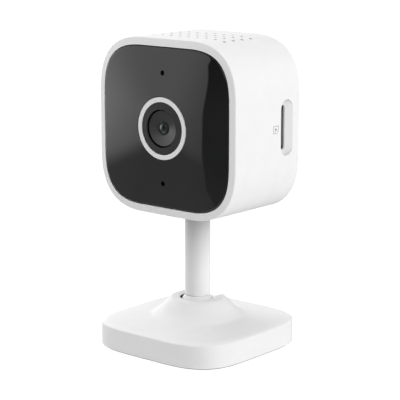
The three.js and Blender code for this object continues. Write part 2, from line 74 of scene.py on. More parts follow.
# ---------------------------------------------------------------- dimensions, mm
HEAD_Z = 65.36
HALF, HEAD_R, HEAD_N = 25.15, 17.6, 2.7
FRONT, REAR = -13.87, 15.6
WALL = 1.8
PANEL, PANEL_TALL, PANEL_R, PANEL_N = 22.96, 22.68, 15.45, 2.9
LIP_RISE = 0.36
PANEL_EDGE, PANEL_RISE = -14.28, 1.69
RING_OUT, RING_IN, RING_FRONT = 8.84, 7.48, -15.78
LENS_X, LENS_Z = 0.1, HEAD_Z + 0.1
BALL_Z, BALL_R, STEM_R = 10.5, 5.35, 3.68
BASE, BASE_R, BASE_N, EDGE = 23.6, 19.5, 3.3, 6.76
COLLAR_TOP, COLLAR_R, FOOT_R = 13.87, 7.85, 16.0


# ---------------------------------------------------------------- mesh helpers
def outline(a, b, r, n, k=24, mid=6):
    """Square with superelliptic corners, counter-clockwise, with points along its straight sides."""
    quad = [(r * math.cos(t) ** (2 / n) + a - r if math.cos(t) > 1e-9 else a - r,
             r * math.sin(t) ** (2 / n) + b - r if math.sin(t) > 1e-9 else b - r)
            for t in (math.pi / 2 * i / k for i in range(k + 1))]
    corners = [quad, [(-x, y) for x, y in quad[::-1]], [(-x, -y) for x, y in quad], [(x, -y) for x, y in quad[::-1]]]
    pts = []
    for c, nxt in zip(corners, corners[1:] + corners[:1]):
        pts += c
        (x0, y0), (x1, y1) = c[-1], nxt[0]
        pts += [(x0 + (x1 - x0) * i / (mid + 1), y0 + (y1 - y0) * i / (mid + 1)) for i in range(1, mid + 1)]
    return pts


def polar(a, b, r, n, count):
    """The same outline sampled at equal angles."""
    fine = np.array(outline(a, b, r, n, 90, 30))
    ang = np.unwrap(np.arctan2(fine[:, 1], fine[:, 0]))
    rad = np.hypot(fine[:, 0], fine[:, 1])
    ang = np.concatenate([ang - 2 * np.pi, ang, ang + 2 * np.pi])
    rad = np.concatenate([rad, rad, rad])
    t = 2 * np.pi * np.arange(count) / count
    rr = np.interp(t, ang, rad)
    return [(float(q * math.cos(s)), float(q * math.sin(s))) for q, s in zip(rr, t)]


def mesh_object(name, verts, faces):
    me = bpy.data.meshes.new(name)
    me.from_pydata([(x * MM, y * MM, z * MM) for x, y, z in verts], [], faces)
    bm = bmesh.new()
    bm.from_mesh(me)
    bmesh.ops.remove_doubles(bm, verts=bm.verts, dist=1e-8)
    bmesh.ops.dissolve_degenerate(bm, dist=1e-8, edges=bm.edges)
    bmesh.ops.recalc_face_normals(bm, faces=bm.faces)
    if bm.calc_volume(signed=True) < 0:
        bmesh.ops.reverse_faces(bm, faces=bm.faces)
    bm.to_mesh(me)
    bm.free()
    o = bpy.data.objects.new(name, me)
    SCENE.collection.objects.link(o)
    return o


def loft(rings, closed=False, caps=True):
    n, m = len(rings[0]), len(rings)
    verts = [p for r in rings for p in r]
    faces = []
    for j in range(m if closed else m - 1):
        a, b = j * n, ((j + 1) % m) * n
        for i in range(n):
            k = (i + 1) % n
            faces.append((a + i, a + k, b + k, b + i))
    if not closed and caps:
        faces.append(tuple(range(n))[::-1])
        faces.append(tuple((m - 1) * n + i for i in range(n)))
    return verts, faces


def turned(profile, seg, axis="z", centre=(0, 0, 0), closed=True):
    """A turned piece. The profile is [radius, height] points; it closes on itself, or starts and ends on the axis."""
    rings = []
    for r, h in profile:
        ring = []
        for i in range(seg):
            t = 2 * math.pi * i / seg
            c, s = r * math.cos(t), r * math.sin(t)
            p = {"z": (c, s, h), "y": (c, h, s), "x": (h, c, s)}[axis]
            ring.append(tuple(p[q] + centre[q] for q in range(3)))
        rings.append(ring)
    return loft(rings, closed=closed, caps=False)


def fillet(points, seg=5):
    """Rounds a closed or open polyline. Each point is (x, y) or (x, y, radius)."""
    out = []
    n = len(points)
    for i, p in enumerate(points):
        if len(p) < 3 or p[2] <= 0:
            out.append((p[0], p[1]))
            continue
        q, s = points[i - 1], points[(i + 1) % n]
        v0 = Vector((q[0] - p[0], q[1] - p[1]))
        v1 = Vector((s[0] - p[0], s[1] - p[1]))
        l0, l1 = v0.length, v1.length
        v0.normalize()
        v1.normalize()
        ang = math.acos(max(-1, min(1, v0.dot(v1))))
        d = min(p[2] / math.tan(ang / 2), l0 * 0.49, l1 * 0.49)
        r = d * math.tan(ang / 2)
        c = Vector((p[0], p[1])) + (v0 + v1).normalized() * (r / math.sin(ang / 2))
        a = Vector((p[0], p[1])) + v0 * d - c
        b = Vector((p[0], p[1])) + v1 * d - c
        sweep = math.atan2(a.x * b.y - a.y * b.x, a.dot(b))
        for k in range(seg + 1):
            t = sweep * k / seg
            out.append((c.x + a.x * math.cos(t) - a.y * math.sin(t), c.y + a.x * math.sin(t) + a.y * math.cos(t)))
    return out


def poly_normals(me):
    nrm = np.zeros(len(me.polygons) * 3)
    me.polygons.foreach_get("normal", nrm)
    area = np.zeros(len(me.polygons))
    me.polygons.foreach_get("area", area)
    return nrm.reshape(-1, 3), area


def loop_normals(me, degrees, only=None):
    """Area-weighted normals per corner, smoothed over faces within an angle of each other."""
    nrm, area = poly_normals(me)
    lv = np.zeros(len(me.loops), int)
    me.loops.foreach_get("vertex_index", lv)
    start = np.zeros(len(me.polygons), int)
    total = np.zeros(len(me.polygons), int)
    me.polygons.foreach_get("loop_start", start)
    me.polygons.foreach_get("loop_total", total)
    face = np.repeat(np.arange(len(start)), total)
    order = np.concatenate([np.arange(s, s + t) for s, t in zip(start, total)]) if len(start) else np.array([], int)
    loop_face = np.zeros(len(lv), int)
    loop_face[order] = face
    by_vert = {}
    for li, v in enumerate(lv):
        by_vert.setdefault(int(v), []).append(int(loop_face[li]))
    limit = math.cos(math.radians(degrees))
    out = np.zeros((len(lv), 3))
    for li, v in enumerate(lv):
        f = loop_face[li]
        fs = by_vert[int(v)]
        if only is not None:
            fs = [g for g in fs if only[g] == only[f]]
        ns = nrm[fs]
        keep = ns @ nrm[f] > limit
        w = (ns * (area[fs] * keep)[:, None]).sum(0)
        ln = np.linalg.norm(w)
        out[li] = w / ln if ln > 1e-18 else nrm[f]
    return out


def shade(o, degrees=32):
    me = o.data
    for p in me.polygons:
        p.use_smooth = True
    me.normals_split_custom_set([tuple(v) for v in loop_normals(me, degrees)])
    return o


def boolean(o, cutters, operation="DIFFERENCE"):
    """Cuts o with closed cutter objects, which are removed."""
    for c in cutters:
        m = o.modifiers.new("cut", "BOOLEAN")
        m.operation = operation
        m.solver = "EXACT"
        m.object = c
        dg = bpy.context.evaluated_depsgraph_get()
        me = bpy.data.meshes.new_from_object(o.evaluated_get(dg))
        o.modifiers.clear()
        o.data = me
        bpy.data.objects.remove(c)
    return o


def cut_and_shade(o, cutters, degrees=32):
    """Cuts o and keeps the smooth shading that its surface had before the cut."""
    ref = o.data.copy()
    ref_n = loop_normals(ref, degrees)
    co = np.zeros(len(ref.vertices) * 3)
    ref.vertices.foreach_get("co", co)
    co = co.reshape(-1, 3)
    ref.calc_loop_triangles()
    tris = [tuple(t.vertices) for t in ref.loop_triangles]
    tloops = [tuple(t.loops) for t in ref.loop_triangles]
    tree = BVHTree.FromPolygons([Vector(v) for v in co], tris)
    boolean(o, cutters)
    me = o.data
    for p in me.polygons:
        p.use_smooth = True
    nrm, _ = poly_normals(me)
    on = np.zeros(len(me.polygons), int)
    hits = {}
    for p in me.polygons:
        loc, n, idx, d = tree.find_nearest(p.center)
        if d is not None and d < 4e-6 and n.dot(p.normal) > 0.9:
            on[p.index] = 1
    out = loop_normals(me, 40, on)
    for p in me.polygons:
        if not on[p.index]:
            continue
        for li in p.loop_indices:
            v = me.vertices[me.loops[li].vertex_index].co
            # look a little inside the face, so a corner on a sharp edge reads its own side
            q = v.lerp(p.center, 0.02)
            loc, n, idx, d = tree.find_nearest(q)
            a, b, c = (Vector(co[i]) for i in tris[idx])
            w = barycentric(loc, a, b, c)
            ns = ref_n[list(tloops[idx])]
            m = ns[0] * w[0] + ns[1] * w[1] + ns[2] * w[2]
            ln = np.linalg.norm(m)
            if ln > 1e-9 and (m / ln) @ nrm[p.index] > 0.7:
                out[li] = m / ln
    me.normals_split_custom_set([tuple(v) for v in out])
    bpy.data.meshes.remove(ref)
    return o


def barycentric(p, a, b, c):
    v0, v1, v2 = b - a, c - a, p - a
    d00, d01, d11, d20, d21 = v0.dot(v0), v0.dot(v1), v1.dot(v1), v2.dot(v0), v2.dot(v1)
    den = d00 * d11 - d01 * d01
    if abs(den) < 1e-30:
        return (1, 0, 0)
    v = (d11 * d20 - d01 * d21) / den
    w = (d00 * d21 - d01 * d20) / den
    return (1 - v - w, v, w)


def join(name, objects):
    verts, faces = [], []
    for o in objects:
        base = len(verts)
        verts += [tuple(v.co / MM) for v in o.data.vertices]
        faces += [tuple(base + i for i in p.vertices) for p in o.data.polygons]
        bpy.data.objects.remove(o)
    return mesh_object(name, verts, faces)


def cylinder(r, axis, centre, lo, hi, seg=32):
    return mesh_object("cutter", *turned([(0, lo), (r, lo), (r, hi), (0, hi)], seg, axis, centre, closed=False))


def prism(pts, axis, levels):
    """Prism of an outline along an axis; levels are (position, growth of the outline)."""
    rings = []
    for h, g in levels:
        ring = []
        for u, v in pts:
            length = math.hypot(u, v) or 1
            u2, v2 = u * (1 + g / length), v * (1 + g / length)
            ring.append({"x": (h, u2, v2), "y": (u2, h, v2), "z": (u2, v2, h)}[axis])
        rings.append(ring)
    return mesh_object("cutter", *loft(rings))


def stadium(w, h, cx, cy, grow=0.0, seg=12):
    """Upright pill outline, w wide and h high."""
    r, s = w / 2 + grow, (h - w) / 2
    pts = []
    for i in range(seg + 1):
        t = math.pi * i / seg
        pts.append((cx + r * math.cos(t), cy + s + r * math.sin(t)))
    for i in range(seg + 1):
        t = math.pi + math.pi * i / seg
        pts.append((cx + r * math.cos(t), cy - s + r * math.sin(t)))
    return pts


def smooth_line(pts, seg):
    """Catmull-Rom curve through open points."""
    p = [pts[0]] + list(pts) + [pts[-1]]
    out = []
    for i in range(1, len(p) - 2):
        for k in range(seg):
            t = k / seg
            out.append(tuple(0.5 * (2 * p[i][q] + (p[i + 1][q] - p[i - 1][q]) * t
                                    + (2 * p[i - 1][q] - 5 * p[i][q] + 4 * p[i + 1][q] - p[i + 2][q]) * t * t
                                    + (3 * p[i][q] - p[i - 1][q] - 3 * p[i + 1][q] + p[i + 2][q]) * t ** 3) for q in range(2)))
    out.append(tuple(pts[-1]))
    return out


# ---------------------------------------------------------------- materials
def material(name, color, rough, metallic=0.0, grain=0.0, grain_scale=9000.0, tone=0.03, tone_scale=260.0,
             rough_var=0.05, specular=0.5, coat=0.0, ior=1.5, transmission=0.0, brushed=None, subsurface=0.0, painted_shade=None):
    """A procedural surface: slow tone and roughness drift, plus fine mould grain or brushing in the bump, and optional
    painted shade that darkens the colour towards a height.
    """
    m = bpy.data.materials.new(name)
    m.use_nodes = True
    nt = m.node_tree
    b = nt.nodes["Principled BSDF"]
    b.inputs["Metallic"].default_value = metallic
    b.inputs["IOR"].default_value = ior
    b.inputs["Specular IOR Level"].default_value = specular
    b.inputs["Coat Weight"].default_value = coat
    b.inputs["Coat Roughness"].default_value = 0.05
    b.inputs["Transmission Weight"].default_value = transmission
    if subsurface:
        b.inputs["Subsurface Weight"].default_value = subsurface
        b.inputs["Subsurface Radius"].default_value = (0.0012, 0.0011, 0.001)
        b.inputs["Subsurface Scale"].default_value = 0.5
    co = nt.nodes.new("ShaderNodeTexCoord")
    slow = nt.nodes.new("ShaderNodeTexNoise")
    slow.inputs["Scale"].default_value = tone_scale
    slow.inputs["Detail"].default_value = 4
    nt.links.new(co.outputs["Object"], slow.inputs["Vector"])
    ramp = nt.nodes.new("ShaderNodeMapRange")
    ramp.inputs["From Min"].default_value = 0.3
    ramp.inputs["From Max"].default_value = 0.7
    ramp.inputs["To Min"].default_value = 1 - tone
    ramp.inputs["To Max"].default_value = 1 + tone
    nt.links.new(slow.outputs["Fac"], ramp.inputs["Value"])
    mul = nt.nodes.new("ShaderNodeVectorMath")
    mul.operation = "SCALE"
    mul.inputs[0].default_value = color[:3]
    level = ramp.outputs["Result"]
    if painted_shade:
        # painted shade: tone falling off towards a height, gain - depth * e^((z - top) / reach)
        top, reach, depth, gain = painted_shade
        sep = nt.nodes.new("ShaderNodeSeparateXYZ")
        nt.links.new(co.outputs["Object"], sep.inputs[0])
        for op, k in (("SUBTRACT", top * MM), ("DIVIDE", reach * MM), ("EXPONENT", 0), ("MULTIPLY", -depth), ("ADD", gain), ("MULTIPLY", None)):
            n = nt.nodes.new("ShaderNodeMath")
            n.operation = op
            nt.links.new(sep.outputs["Z"] if op == "SUBTRACT" else last, n.inputs[0])
            if op != "EXPONENT":
                if k is None:
                    nt.links.new(level, n.inputs[1])
                else:
                    n.inputs[1].default_value = k
            last = n.outputs[0]
        level = last
    nt.links.new(level, mul.inputs["Scale"])
    nt.links.new(mul.outputs["Vector"], b.inputs["Base Color"])
    rr = nt.nodes.new("ShaderNodeMapRange")
    rr.inputs["From Min"].default_value = 0.3
    rr.inputs["From Max"].default_value = 0.7
    rr.inputs["To Min"].default_value = max(0.0, rough - rough_var)
    rr.inputs["To Max"].default_value = min(1.0, rough + rough_var)
    mid = nt.nodes.new("ShaderNodeTexNoise")
    mid.inputs["Scale"].default_value = tone_scale * 3.7
    mid.inputs["Detail"].default_value = 3
    nt.links.new(co.outputs["Object"], mid.inputs["Vector"])
    nt.links.new(mid.outputs["Fac"], rr.inputs["Value"])
    nt.links.new(rr.outputs["Result"], b.inputs["Roughness"])
    if grain:
        src = co.outputs["Object"]
        if brushed:
            mp = nt.nodes.new("ShaderNodeMapping")
            mp.inputs["Scale"].default_value = brushed
            nt.links.new(src, mp.inputs["Vector"])
            src = mp.outputs["Vector"]
        fine = nt.nodes.new("ShaderNodeTexNoise")
        fine.inputs["Scale"].default_value = grain_scale
        fine.inputs["Detail"].default_value = 2
        nt.links.new(src, fine.inputs["Vector"])
        bump = nt.nodes.new("ShaderNodeBump")
        bump.inputs["Strength"].default_value = grain
        bump.inputs["Distance"].default_value = 0.00002
        nt.links.new(fine.outputs["Fac"], bump.inputs["Height"])
        nt.links.new(bump.outputs["Normal"], b.inputs["Normal"])
    return m


WHITE = (0.78, 0.78, 0.78)
MATS = {
    "housing_white": material("housing_white", WHITE, 0.42, grain=0.35, grain_scale=7000, tone=0.012, rough_var=0.04),
    "base_white": material("base_white", WHITE, 0.42, grain=0.35, grain_scale=7000, tone=0.012, rough_var=0.04),
    # the stem's colour is darkened towards the head with painted shade, standing in for the shadow the head casts on it
    "stem_white": material("stem_white", WHITE, 0.38, grain=0.2, grain_scale=7000, tone=0.012, rough_var=0.04, painted_shade=(40, 8, 0.62, 1.1)),
    "ball_white": material("ball_white", (0.76, 0.76, 0.76), 0.3, grain=0.1, tone=0.015),
    "ring_white": material("ring_white", (0.76, 0.76, 0.755), 0.4, grain=0.15, tone=0.012),
    "button_white": material("button_white", (0.74, 0.74, 0.74), 0.4, grain=0.2, tone=0.015),
    "window_black": material("window_black", (0.006, 0.0062, 0.007), 0.018, tone=0.2, rough_var=0.008, tone_scale=90),
    "dark_plastic": material("dark_plastic", (0.017, 0.017, 0.018), 0.8, grain=0.3, grain_scale=5000, tone=0.06),
    "barrel_black": material("barrel_black", (0.02, 0.0203, 0.021), 0.13, tone=0.06, rough_var=0.01),
    "cup_plastic": material("cup_plastic", (0.04, 0.04, 0.042), 0.45, grain=0.2, tone=0.08),
    "cover_plastic": material("cover_plastic", (0.06, 0.06, 0.062), 0.6, grain=0.5, tone=0.08),
    "lens_glass": material("lens_glass", (0.004, 0.014, 0.009), 0.03, tone=0.1, rough_var=0.01, ior=1.62),
    "filter_glass": material("filter_glass", (0.45, 0.75, 0.78), 0.04, tone=0.03, rough_var=0.01, transmission=0.8),
    "clear_pipe": material("clear_pipe", (0.016, 0.017, 0.02), 0.25, tone=0.06, rough_var=0.03),
    "chip_black": material("chip_black", (0.018, 0.018, 0.02), 0.55, grain=0.6, grain_scale=9000, tone=0.1),
    "card_black": material("card_black", (0.02, 0.02, 0.022), 0.45, grain=0.2, tone=0.1),
    "board_green": material("board_green", (0.012, 0.1, 0.045), 0.35, grain=0.4, grain_scale=1500, tone=0.25, tone_scale=900),
    "board_black": material("board_black", (0.016, 0.017, 0.018), 0.4, grain=0.4, grain_scale=1500, tone=0.2, tone_scale=900),
    "thermal_pad": material("thermal_pad", (0.28, 0.38, 0.47), 0.8, grain=0.6, grain_scale=2500, tone=0.08),
    "spreader": material("spreader", (0.75, 0.76, 0.78), 0.35, 1.0, grain=0.4, brushed=(1, 1, 0.04), grain_scale=12000, tone=0.03),
    "steel": material("steel", (0.6, 0.61, 0.63), 0.28, 1.0, grain=0.3, brushed=(0.06, 1, 1), grain_scale=12000, tone=0.05),
    "ballast": material("ballast", (0.42, 0.43, 0.45), 0.42, 1.0, grain=0.4, grain_scale=2500, tone=0.15, tone_scale=700),
    "flex_amber": material("flex_amber", (0.45, 0.19, 0.035), 0.35, grain=0.2, tone=0.08),
    "antenna_film": material("antenna_film", (0.035, 0.035, 0.03), 0.4, grain=0.2, tone=0.1),
    "speaker_black": material("speaker_black", (0.025, 0.025, 0.026), 0.65, grain=0.5, tone=0.1),
    "seal_rubber": material("seal_rubber", (0.025, 0.025, 0.025), 0.85, grain=0.7, grain_scale=4000, tone=0.1),
    "foot_rubber": material("foot_rubber", (0.085, 0.085, 0.087), 0.85, grain=0.8, grain_scale=3500, tone=0.08),
    "lamp_resin": material("lamp_resin", (0.05, 0.008, 0.01), 0.08, tone=0.1),
    "lamp_white": material("lamp_white", (0.8, 0.8, 0.68), 0.25, tone=0.04),
}
# a darker white for the card bay's faces: painted shade in the recess
BAY_PAINTED_SHADE = material("bay_painted_shade", (0.705, 0.705, 0.705), 0.5, tone=0.012, grain=0.35, grain_scale=7000)
RIM_BLACK = material("lens_rim_black", (0.006, 0.006, 0.0065), 0.75, tone=0.05)
# near-black for the inner wall of the ball socket: painted shade in the hole
SOCKET_PAINTED_SHADE = material("socket_painted_shade", (0.05, 0.05, 0.05), 0.7, tone=0.05)
# grey for the vent hole walls: painted shade inside the holes
VENT_PAINTED_SHADE = material("vent_painted_shade", (0.35, 0.35, 0.35), 0.7, tone=0.05, grain=0.2)
for sub in frame["record"]["subparts"]:
    o = frame["nodes"][sub["node"]]
    o.data.materials.clear()
    o.data.materials.append(MATS[sub["material_slot"]])


def finish_piece(o, name, body, slot, replaces=(), mat=None):
    o.name = name
    o.data.name = name
    o.data.materials.clear()
    o.data.materials.append(mat or MATS[slot])
    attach(o, body)
    if replaces:
        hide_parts(*replaces)
    return o


def head_ring(inset, y, k=24, mid=6):
    return [(x, y, z + HEAD_Z) for x, z in outline(HALF - inset, HALF - inset, HEAD_R - inset, HEAD_N, k, mid)]


def panel_ring(inset, y, k=24, mid=6):
    return [(x, y, z + HEAD_Z) for x, z in outline(PANEL - inset, PANEL_TALL - inset, PANEL_R - inset, PANEL_N, k, mid)]


# ---------------------------------------------------------------- head housing
def build_shell():
    lip = FRONT - LIP_RISE
    rings = [panel_ring(-0.2, lip + 0.14), panel_ring(-0.23, lip + 0.05), panel_ring(-0.3, lip)]
    rings.append(head_ring(0.55, FRONT - 0.04))
    r = 0.34
    for i in range(7):
        t = math.pi / 2 * i / 6
        rings.append(head_ring(r - r * math.sin(t), FRONT + r - r * math.cos(t)))
    rings += [head_ring(0, FRONT + 1.2), head_ring(0, REAR - 2.0)]
    r = 1.3
    for i in range(9):
        t = math.pi / 2 * i / 8
        rings.append(head_ring(r - r * math.cos(t), REAR - r + r * math.sin(t)))
    rings += [head_ring(1.55, REAR), head_ring(1.72, REAR - 0.04), head_ring(1.8, REAR - 0.16), head_ring(WALL, -12.2), panel_ring(-0.2, -12.2)]
    o = mesh_object("head_shell_skin", *loft(rings, closed=True))
    # vents, plain round holes
    holes = []
    for x in (1.62, 4.87, 8.12, 11.37, 14.62):
        for y in (-5.85, -2.0, 1.85, 5.7):
            for s in (1, -1):
                holes.append(cylinder(0.49, "z", (s * x, y, HEAD_Z), 18, 27, 20))
    holes = join("cutter", holes)
    # card bay: pill recess with a softened edge, and the slot in its floor
    def bay_levels(levels, w, h, cy):
        rings = [[(x, u, v + HEAD_Z) for u, v in stadium(w, h, cy, 0, g)] for x, g in levels]
        return mesh_object("cutter", *loft(rings))
    bay = bay_levels([(HALF - 1.2, -0.1), (HALF - 1.13, -0.02), (HALF - 1.03, 0.0), (HALF - 0.1, 0.0), (HALF - 0.03, 0.02), (HALF + 0.02, 0.07), (HALF + 1, 0.07)], 5.4, 16.0, 9.2)
    ramp = [(HALF - 2.4, 13), (HALF - 2.4, 9.66), (HALF - 1.2, 9.66), (HALF - 1.18, 9.74), (HALF - 0.03, 11.88), (HALF - 0.03, 13)]
    rings = [[(x, y, z + HEAD_Z) for x, y in ramp] for z in (-9, 9)]
    boolean(bay, [mesh_object("cutter", *loft(rings))])
    slot = bay_levels([(20, 0), (HALF - 3, 0), (HALF + 1, 0)], 1.7, 12.8, 8.8)
    stem_hole = cylinder(STEM_R + 0.2, "z", (0, 0, HEAD_Z), -27, -20, 64)
    cut_and_shade(o, [holes, bay, slot, stem_hole])
    o = finish_piece(o, "head_shell_skin", "head", "housing_white", ["head_shell"])
    o.data.materials.append(VENT_PAINTED_SHADE)
    o.data.materials.append(BAY_PAINTED_SHADE)
    vx = [s * x for x in (1.62, 4.87, 8.12, 11.37, 14.62) for s in (1, -1)]
    for f in o.data.polygons:
        x, y, z = (c / MM for c in f.center)
        z -= HEAD_Z
        # vent hole walls take the grey of painted shade
        if z > 18 and abs(f.normal.z) < 0.6:
            if min(abs(x - u) for u in vx) < 0.6 and min(abs(y - v) for v in (-5.85, -2.0, 1.85, 5.7)) < 0.6:
                f.material_index = 1
        # card bay faces take the darker white of painted shade
        if HALF - 1.4 < x < HALF - 0.02 and 6.4 < y < 12.0 and abs(z) < 8.1:
            f.material_index = 2
    return o


build_shell()


def build_rear_cover():
    i0 = WALL + 0.18
    rings = [head_ring(i0 + 0.3, REAR), head_ring(i0 + 0.1, REAR - 0.05), head_ring(i0, REAR - 0.22), head_ring(i0, REAR - 2.4), head_ring(i0 + 1.3, REAR - 2.4), head_ring(i0 + 1.3, REAR - 1.6)]
    o = mesh_object("rear_cover_skin", *loft([rings[0]] + rings[1:]))
    holes = []
    for i, n in enumerate((1, 6, 12, 18)):
        for j in range(n):
            t = 2 * math.pi * j / n
            holes.append(cylinder(0.5, "y", (1.7 * i * math.cos(t), 0, HEAD_Z + 9.5 + 1.7 * i * math.sin(t)), 10, 20, 16))
    port = [(u, v + HEAD_Z - 13.5) for u, v in outline(4.2, 1.7, 0.9, 2, 6, 1)]
    def port_ring(y, g):
        return [(u + (g if u > 0 else -g), y, v + (g if v > HEAD_Z - 13.5 else -g)) for u, v in port]
    inlet = mesh_object("cutter", *loft([port_ring(10, 0), port_ring(REAR - 0.3, 0), port_ring(REAR + 0.02, 0.32), port_ring(18, 0.32)]))
    button = mesh_object("cutter", *turned([(0, 10), (1.85, 10), (1.85, REAR - 0.2), (2.05, REAR + 0.02), (2.05, 18), (0, 18)], 48, "y", (12.5, 0, HEAD_Z - 13.5), closed=False))
    cut_and_shade(o, [join("cutter", holes), inlet, button])
    return finish_piece(o, "rear_cover_skin", "head", "housing_white", ["rear_cover"])


build_rear_cover()

b = mesh_object("reset_button_cap", *turned(fillet([(0, 10.95), (1.2, 10.95), (1.2, 12.7), (2.6, 12.7), (2.6, 13.7), (1.7, 13.7), (1.7, 15.6, 0.2), (0.9, 15.58), (0.4, 15.5), (0, 15.48)], 5), 48, "y", (12.5, 0, HEAD_Z - 13.5), closed=False))
finish_piece(shade(b), "reset_button_cap", "reset_button", "button_white", ["reset_button"])


# ---------------------------------------------------------------- front window
def build_window():
    n = 176
    squ = polar(PANEL, PANEL_TALL, PANEL_R, PANEL_N, n)
    rim = RING_OUT + 0.13
    def ring(g, dy, inset=0.0):
        out = []
        for x, z in squ:
            R = math.hypot(x, z)
            r = (rim + inset) if g is None else g * (R - inset)
            gg = r / R
            ox, oz = (LENS_X, LENS_Z) if g is None else (0, HEAD_Z)
            out.append((x * r / R + ox, PANEL_EDGE - PANEL_RISE * (1 - gg * gg) + dy, z * r / R + oz))
        return out
    rings = []
    e = 0.28
    for i in range(6):
        t = math.pi / 2 * i / 5
        rings.append(ring(1.0, e - e * math.sin(t), e - e * math.cos(t)))
    for g in np.linspace(0.975, 0.46, 22):
        rings.append(ring(float(g), 0))
    rings.append(ring(None, 0.0, 0.1))
    rings.append(ring(None, 0.1, 0.0))
    rings.append(ring(None, 1.4))
    for g in (0.5, 0.75, 0.95):
        rings.append(ring(g, 1.4))
    rings.append(ring(1.0, 1.4))
    o = mesh_object("front_window", *loft(rings, closed=True))
    ports = [cylinder(0.72, "y", (0, 0, HEAD_Z + s * 15.69), -18, -10, 32) for s in (1, -1)]
    cut_and_shade(o, [join("cutter", ports)])
    return finish_piece(o, "front_window", "head", "window_black", ["front_panel"])


build_window()

# ---------------------------------------------------------------- lens
C = (LENS_X, 0, LENS_Z)
o = mesh_object("lens_ring_white", *turned(fillet([(RING_IN, RING_FRONT, 0.1), (RING_OUT, RING_FRONT, 0.12), (RING_OUT, -13.0), (RING_IN, -13.0)], 4), 160, "y", C))
finish_piece(shade(o), "lens_ring_white", "head", "ring_white", ["lens_ring"])
o = mesh_object("lens_hood_disc", *turned(fillet([(5.4, -15.98, 0.05), (7.42, -15.6, 0.05), (7.42, -12.6), (7.0, -12.6), (6.6, -14.9), (5.44, -15.5)], 3), 128, "y", C))
finish_piece(shade(o), "lens_hood_disc", "head", "dark_plastic", ["lens_hood"])
nose = [(1.36, -15.2, 0.04), (1.38, -15.4, 0.05), (1.84, -15.4, 0.08), (1.98, -15.02, 0.05), (4.98, -15.36, 0.08), (5.1, -15.3), (5.15, -6.6),
        (4.4, -6.2), (4.4, -4.2), (1.95, -4.2), (1.95, -10.5), (1.36, -10.5)]
o = mesh_object("lens_barrel_nose", *turned(fillet(nose, 4), 128, "y", C))
o = finish_piece(shade(o), "lens_barrel_nose", "head", "barrel_black", ["lens_barrel"])
o.data.materials.append(RIM_BLACK)
for f in o.data.polygons:
    r, y = math.hypot(f.center.x / MM - LENS_X, f.center.z / MM - LENS_Z), f.center.y / MM
    if r < 1.93 and y < -14.8:
        f.material_index = 1
dome = [(2.2 * math.sin(t), -13.5 - 2.2 * math.cos(t)) for t in np.linspace(0, math.radians(36.8), 14)]
o = mesh_object("front_lens_dome", *turned([(float(max(0, r)), float(h)) for r, h in dome] + [(1.317, -12.4), (0, -12.6)], 72, "y", C, closed=False))
finish_piece(shade(o, 40), "front_lens_dome", "head", "lens_glass", ["front_lens"])

# ---------------------------------------------------------------- card pictogram
def pictogram():
    """Printed outline of a card with a cut corner, and a small arrow into the slot."""
    x0, x1 = HALF - 0.02, HALF + 0.012
    y0, y1, z0, z1 = 2.98, 5.35, -1.14, 1.06
    outer = [(y0, z0), (y1 - 0.75, z0), (y1, z0 + 0.75), (y1, z1), (y0, z1)]
    cy, cz = (y0 + y1) / 2, (z0 + z1) / 2
    w = 0.17
    inner = [(y0 + w, z0 + w), (y1 - 0.75 - w * 0.4, z0 + w), (y1 - w, z0 + 0.75 + w * 0.4), (y1 - w, z1 - w), (y0 + w, z1 - w)]
    n = len(outer)
    verts, faces = [], []
    for x in (x0, x1):
        verts += [(x, u, v + HEAD_Z) for u, v in outer] + [(x, u, v + HEAD_Z) for u, v in inner]
    for i in range(n):
        k = (i + 1) % n
        a, b, c, d = i, k, n + k, n + i
        A, B, Cc, D = (q + 2 * n for q in (a, b, c, d))
        faces += [(a, d, c, b), (A, B, Cc, D), (a, b, B, A), (d, D, Cc, c)]
    o1 = mesh_object("p1", verts, faces)
    tri = [(cy - 0.42, cz - 0.6), (cy + 0.5, cz), (cy - 0.42, cz + 0.6)]
    v = [(x, u, q + HEAD_Z) for x in (x0, x1) for u, q in tri]
    o2 = mesh_object("p2", v, [(0, 1, 2), (3, 5, 4), (0, 3, 4, 1), (1, 4, 5, 2), (2, 5, 3, 0)])
    return join("card_pictogram", [o1, o2])


ink = material("ink_grey", (0.3, 0.3, 0.3), 0.6, tone=0.1, grain=0.2)
finish_piece(shade(pictogram(), 20), "card_pictogram", "head", "housing_white", mat=ink)


# ---------------------------------------------------------------- stem and ball
def build_stem():
    r2 = BALL_R + 0.03
    def on(r):
        return (r, BALL_Z + math.sqrt(r2 ** 2 - r ** 2))
    zj = on(STEM_R - 0.16)[1]
    foot = [on(1.2), on(2.6), on(STEM_R - 0.2), (STEM_R - 0.16, zj + 0.01), (STEM_R - 0.07, zj + 0.05), (STEM_R - 0.02, zj + 0.12), (STEM_R, zj + 0.24)]
    prof = foot + [(STEM_R, 46.9), (1.2, 46.9)]
    return mesh_object("stem_skin", *turned(prof, 128, "z"))


finish_piece(shade(build_stem()), "stem_skin", "head", "stem_white", ["stem_tube"])
prof = [(0.0, BALL_Z - BALL_R)] + [(BALL_R * math.sin(t), BALL_Z - BALL_R * math.cos(t)) for t in np.linspace(0, math.pi, 49)[1:-1]] + [(0.0, BALL_Z + BALL_R)]
o = mesh_object("ball_skin", *turned([(float(a), float(b)) for a, b in prof], 96, "z", closed=False))
finish_piece(shade(o, 40), "ball_skin", "ball", "ball_white", ["ball"])


